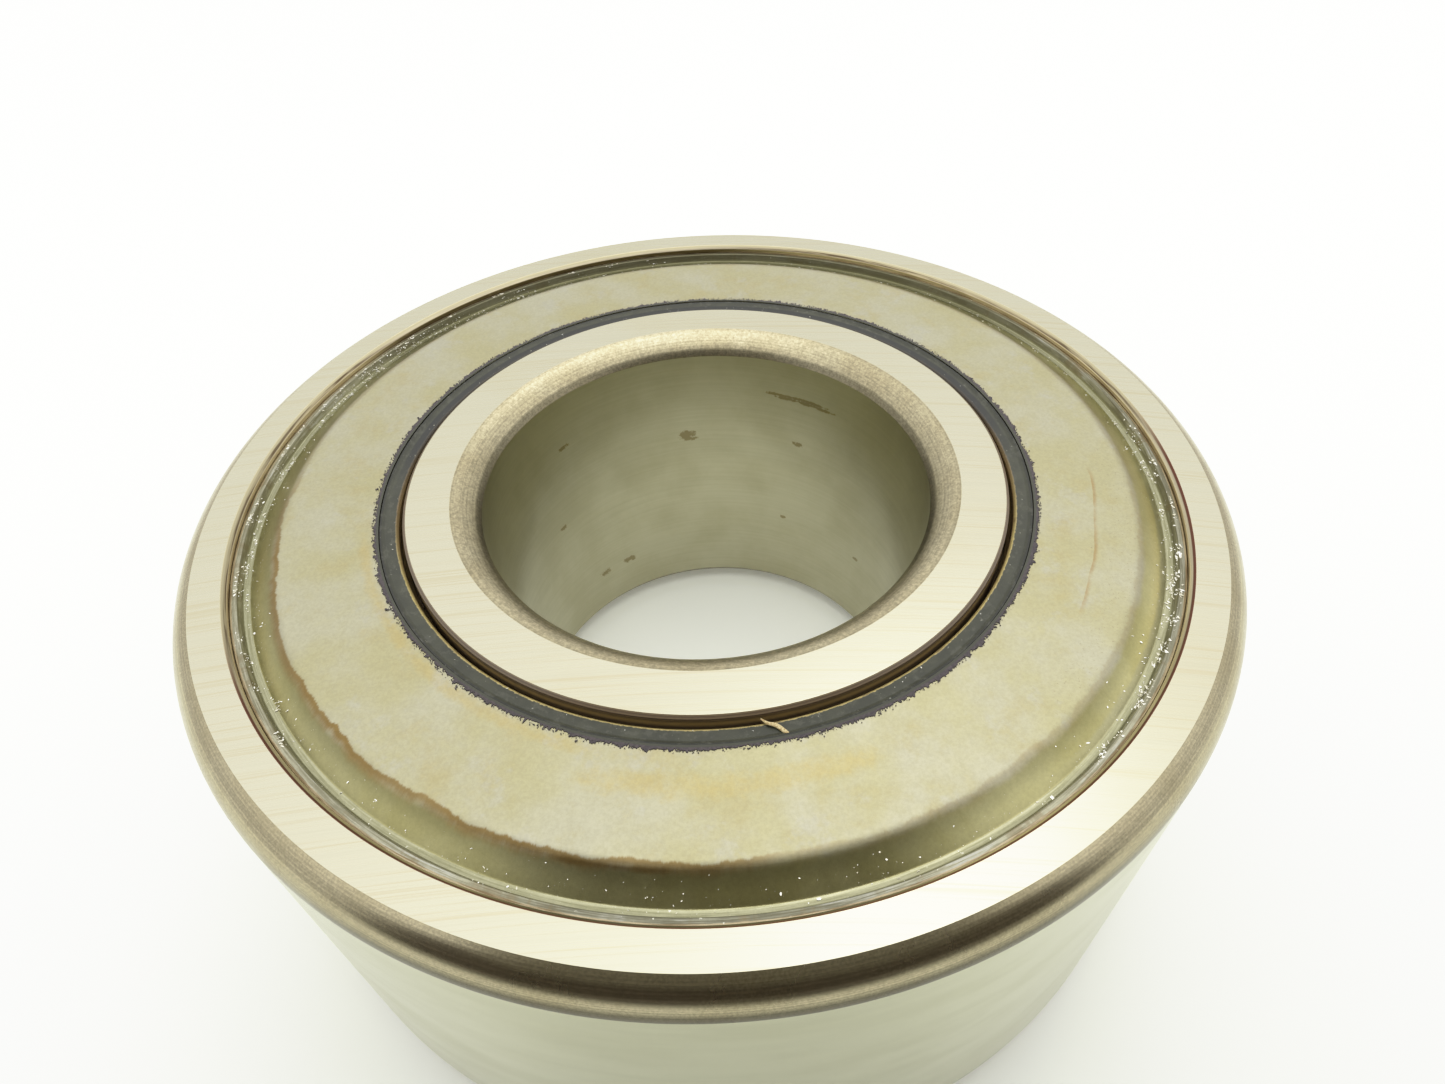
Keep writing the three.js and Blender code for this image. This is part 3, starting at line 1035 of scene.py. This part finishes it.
def cage_mesh(name, side):
    """A snap cage: a rounded ring with a spherical pocket cut out round each ball."""
    section = [
        (CAGE_INNER_RADIUS, CAGE_HORN_Z, 0.5, "all"),
        (CAGE_OUTER_RADIUS, CAGE_HORN_Z, 0.5, "all"),
        (CAGE_OUTER_RADIUS, CAGE_BACK_Z, 0.4, "all"),
        (CAGE_INNER_RADIUS, CAGE_BACK_Z, 0.4, "all"),
    ]
    blank = turned_mesh("cage_blank", for_side(section, side), ["all"], CAGE_SEGMENTS)
    ring = linked("cage_blank", blank)
    shape = bmesh.new()
    for centre in ball_centres(side):
        bmesh.ops.create_uvsphere(shape, u_segments=POCKET_SEGMENTS, v_segments=POCKET_RINGS,
                                  radius=POCKET_RADIUS * MM, matrix=Matrix.Translation(centre))
    pockets_mesh = bpy.data.meshes.new("pockets")
    shape.to_mesh(pockets_mesh)
    shape.free()
    pockets = linked("pockets", pockets_mesh)
    cut = ring.modifiers.new("pockets", "BOOLEAN")
    cut.operation = "DIFFERENCE"
    cut.solver = "EXACT"
    cut.object = pockets
    bpy.context.view_layer.update()
    evaluated = ring.evaluated_get(bpy.context.evaluated_depsgraph_get())
    mesh = bpy.data.meshes.new_from_object(evaluated)
    mesh.name = name
    mesh.materials.clear()
    for leftover in (ring, pockets):
        bpy.data.objects.remove(leftover)
    return mesh


def ball_mesh(material):
    shape = bmesh.new()
    bmesh.ops.create_icosphere(shape, subdivisions=5, radius=BALL_RADIUS * MM)
    mesh = bpy.data.meshes.new("ball")
    shape.to_mesh(mesh)
    shape.free()
    mesh.materials.append(material)
    mesh.shade_smooth()
    return mesh


def add_rings():
    face = ground_face_steel()
    outer_corner = turned_corner_steel("outer_corner_steel", 0.22, 0.32)
    bore_corner = turned_corner_steel("bore_corner_steel", 0.34, 0.44, dark_edge=True)
    race = race_steel()
    outer_zones = ["face", "corner", "cylinder", "seat", "race"]
    outer_materials = [face, outer_corner, ground_cylinder_steel(), seal_seat_steel(), race]
    outer = finished(turned_mesh("outer_ring_fine", outer_ring_section(), outer_zones), "outer_ring_fine",
                     outer_materials, sharp_degrees=16)
    place(outer, "outer", "ring_steel", "outer_ring")
    inner_zones = ["face", "corner", "bore", "land", "race"]
    inner = finished(turned_mesh("inner_ring_fine", inner_ring_section(), inner_zones), "inner_ring_fine",
                     [face, bore_corner, bore_steel(), seal_land_steel(), race], sharp_degrees=13)
    place(inner, "inner", "ring_steel", "inner_ring")


def add_seals():
    case_material = seal_case_steel()
    rubber = seal_rubber()
    flash = flash_rubber()
    grit = grit_steel()
    for row, side in (("upper", 1), ("lower", -1)):
        name = f"seal_case_{row}_fine"
        case_mesh = turned_mesh(name, for_side(seal_case_section(), side), ["all"])
        place(finished(case_mesh, name, [case_material]), "outer", "seal_case_steel", f"seal_case_{row}")
        name = f"seal_lip_{row}_fine"
        lip_mesh = turned_mesh(name, for_side(seal_lip_section(), side), ["all"])
        place(finished(lip_mesh, name, [rubber]), "outer", "seal_rubber", f"seal_lip_{row}")
        name = f"seal_flash_{row}"
        place(finished(flash_mesh(name, side), name, [flash]), "outer", "seal_rubber")
        name = f"seal_grit_{row}"
        place(finished(grit_mesh(name, side), name, [grit]), "outer", "seal_case_steel")
    place(finished(straw_mesh("straw_chip"), "straw_chip", [dry_straw()]), "outer", "seal_rubber")


def add_inner_parts():
    polymer = cage_polymer()
    steel = ball_steel()
    shared_ball = ball_mesh(steel)
    for row, side in (("upper", 1), ("lower", -1)):
        name = f"cage_{row}_fine"
        cage = finished(cage_mesh(name, side), name, [polymer])
        place(cage, f"cage_{row}", "cage_polymer", f"cage_{row}")
        for number, centre in enumerate(ball_centres(side), start=1):
            node = f"ball_{row}_{number:02d}"
            ball = linked(f"{node}_fine", shared_ball)
            ball.location = centre
            place(ball, node, "ball_steel", node)


# ---------------- studio

CAMERA_DISTANCE = 94.1 * MM
CAMERA_ELEVATION = 49.09
CAMERA_TILT = 3.70
CAMERA_PAN = -0.61
CAMERA_ROLL = -3.67
CAMERA_LENS = 22.65
FLOOR_HALF = 3.0


def add_camera():
    """Close above the bearing, with a wide lens, turned a little away from the bearing's centre."""
    data = bpy.data.cameras.new("camera")
    data.lens = CAMERA_LENS
    data.sensor_width = 36.0
    data.clip_start = 0.002
    data.clip_end = 20.0
    camera = linked("camera", data)
    elevation = math.radians(CAMERA_ELEVATION)
    away = Vector((0, -math.cos(elevation), math.sin(elevation)))
    turn = Euler((math.radians(CAMERA_TILT), math.radians(CAMERA_PAN), 0)).to_matrix()
    roll = Matrix.Rotation(math.radians(CAMERA_ROLL), 3, "Z")
    look = (-away).to_track_quat("-Z", "Y").to_matrix()
    camera.matrix_world = Matrix.Translation(away * CAMERA_DISTANCE) @ (look @ roll @ turn).to_4x4()
    bpy.context.scene.camera = camera


def rectangle(half_width, low, high):
    """Corners of a rectangle, anticlockwise."""
    return [(-half_width, low), (half_width, low), (half_width, high), (-half_width, high)]


def panel(name, corners, material, order=(0, 1, 2, 3)):
    """A flat piece of the studio. Seen from its front, its corners run anticlockwise in this order."""
    mesh = mesh_of(name, corners, [order])
    mesh.materials.append(material)
    return linked(name, mesh)


def add_floor():
    """A white table with painted light: it glows a little all over, and most under the bore, where it
    lifts the shade.
    """
    paint = Paint("white_table", 0.0, 0.22)
    cloud = paint.mottle(0.01, 2, seed=111)
    colour = paint.mix(cloud, (0.9, 0.925, 0.855), (0.915, 0.935, 0.87))
    paint.shader.inputs["Emission Color"].default_value = (0.97, 1.0, 0.93, 1)
    glow = paint.radius.step(19.5, 17.5).between(0.17, 0.21)
    paint.feed(glow, paint.shader.inputs["Emission Strength"])
    material = paint.finish(colour, cloud.between(0.2, 0.28))
    corners = [(x, y, outer_low.z) for x, y in rectangle(FLOOR_HALF, -FLOOR_HALF, FLOOR_HALF)]
    floor = panel("table_top", corners, material)


SKY_STEPS = (
    # sine of the elevation, brightness
    (0.0, 0.72),
    (0.34, 0.78),
    (0.57, 0.98),
    (0.81, 1.15),
    (0.93, 1.3),
    (0.975, 1.9),
    (1.0, 2.1),
)
SKY_PEAK = 2.1
EXPOSURE = 1.4
BODY_WIDTH = 110 * MM
BODY_HEIGHT = 66 * MM
BODY_BACK = 10 * MM
SOFTBOX_PLACE = Vector((0.2, 0.35, 0.85))
SOFTBOX_SIZE = 0.35
SOFTBOX_WATTS = 0.5
FLAG_Y = -112 * MM
FLAG_HALF_WIDTH = 185 * MM
FLAG_TOP = 178 * MM
FLAG_SOFTNESS = 60 * MM
FLAG_BOTTOM = -2 * MM
FLAG_BOTTOM_SOFTNESS = 20 * MM


def add_sky():
    """A white tent, brightest overhead."""
    world = bpy.data.worlds.new("studio")
    bpy.context.scene.world = world
    world.use_nodes = True
    tree = world.node_tree
    background = tree.nodes["Background"]
    coordinates = tree.nodes.new("ShaderNodeTexCoord")
    split = tree.nodes.new("ShaderNodeSeparateXYZ")
    tree.links.new(coordinates.outputs["Generated"], split.inputs[0])
    ramp = tree.nodes.new("ShaderNodeValToRGB")
    tree.links.new(split.outputs[2], ramp.inputs[0])
    stops = ramp.color_ramp.elements
    while len(stops) < len(SKY_STEPS):
        stops.new(0.5)
    for stop, (height, brightness) in zip(stops, SKY_STEPS):
        stop.position = height
        level = brightness / SKY_PEAK
        stop.color = (level, level, level * 0.985, 1)
    seen = tree.nodes.new("ShaderNodeLightPath")
    shown = tree.nodes.new("ShaderNodeMix")
    shown.data_type = "RGBA"
    tree.links.new(seen.outputs["Is Camera Ray"], shown.inputs[0])
    tree.links.new(ramp.outputs[0], shown.inputs[6])
    shown.inputs[7].default_value = (0.5, 0.5, 0.497, 1)
    tree.links.new(shown.outputs[2], background.inputs["Color"])
    background.inputs["Strength"].default_value = SKY_PEAK * EXPOSURE


def add_flag():
    """A dark screen behind the camera, with soft edges."""
    paint = Paint("black_flag", 0.0, 1.0)
    paint.shader.inputs["Specular IOR Level"].default_value = 0.0
    solid_half = (FLAG_HALF_WIDTH - FLAG_SOFTNESS) / MM
    side = paint.math("ABSOLUTE", paint.x).step(FLAG_HALF_WIDTH / MM, solid_half)
    top = paint.z.step(FLAG_TOP / MM, (FLAG_TOP - FLAG_SOFTNESS) / MM)
    bottom = paint.z.step(FLAG_BOTTOM / MM, (FLAG_BOTTOM + FLAG_BOTTOM_SOFTNESS) / MM)
    material = paint.finish((0.075, 0.06, 0.05))
    paint.feed(side * top * bottom, paint.shader.inputs["Alpha"])
    corners = [(x, FLAG_Y, z) for x, z in rectangle(FLAG_HALF_WIDTH, FLAG_BOTTOM, FLAG_TOP)]
    flag = panel("black_flag", corners, material, (3, 2, 1, 0))
    flag.visible_camera = False


def add_camera_body():
    """A dark card just behind the lens, in place of the camera, that shades the nearest table."""
    material = Paint("black_card", 0.0, 0.9).finish((0.17, 0.155, 0.135))
    camera_place = bpy.context.scene.camera.matrix_world
    half_height = BODY_HEIGHT / 2
    corners = []
    for x, y in rectangle(BODY_WIDTH / 2, -half_height, half_height):
        corners.append(camera_place @ Vector((x, y, BODY_BACK)))
    card = panel("black_card", corners, material, (3, 2, 1, 0))
    card.visible_camera = False


def add_softbox():
    """A soft lamp high behind the bearing."""
    data = bpy.data.lights.new("softbox", "AREA")
    data.shape = "DISK"
    data.size = SOFTBOX_SIZE
    data.energy = SOFTBOX_WATTS
    data.color = (1.0, 0.985, 0.95)
    lamp = linked("softbox", data)
    lamp.location = SOFTBOX_PLACE
    lamp.rotation_euler = (-SOFTBOX_PLACE).to_track_quat("-Z", "Y").to_euler()


FILM_CURVE = (
    # scene brightness, shown brightness
    (0.0, 0.0),
    (0.35, 0.35),
    (0.7, 0.7),
    (0.95, 0.885),
    (1.35, 0.975),
    (2.2, 1.0),
)


def set_film():
    """Plain colours with a soft shoulder, so that the brightest steel keeps its tint."""
    view = bpy.context.scene.view_settings
    view.view_transform = "Standard"
    view.use_curve_mapping = True
    mapping = view.curve_mapping
    mapping.clip_max_x = FILM_CURVE[-1][0]
    curve = mapping.curves[3]
    curve.points[0].location = FILM_CURVE[0]
    curve.points[1].location = FILM_CURVE[-1]
    for point in FILM_CURVE[1:-1]:
        curve.points.new(*point)
    mapping.update()


add_camera()
add_floor()
add_sky()
add_flag()
add_camera_body()
add_softbox()
add_rings()
add_seals()
add_inner_parts()
set_film()
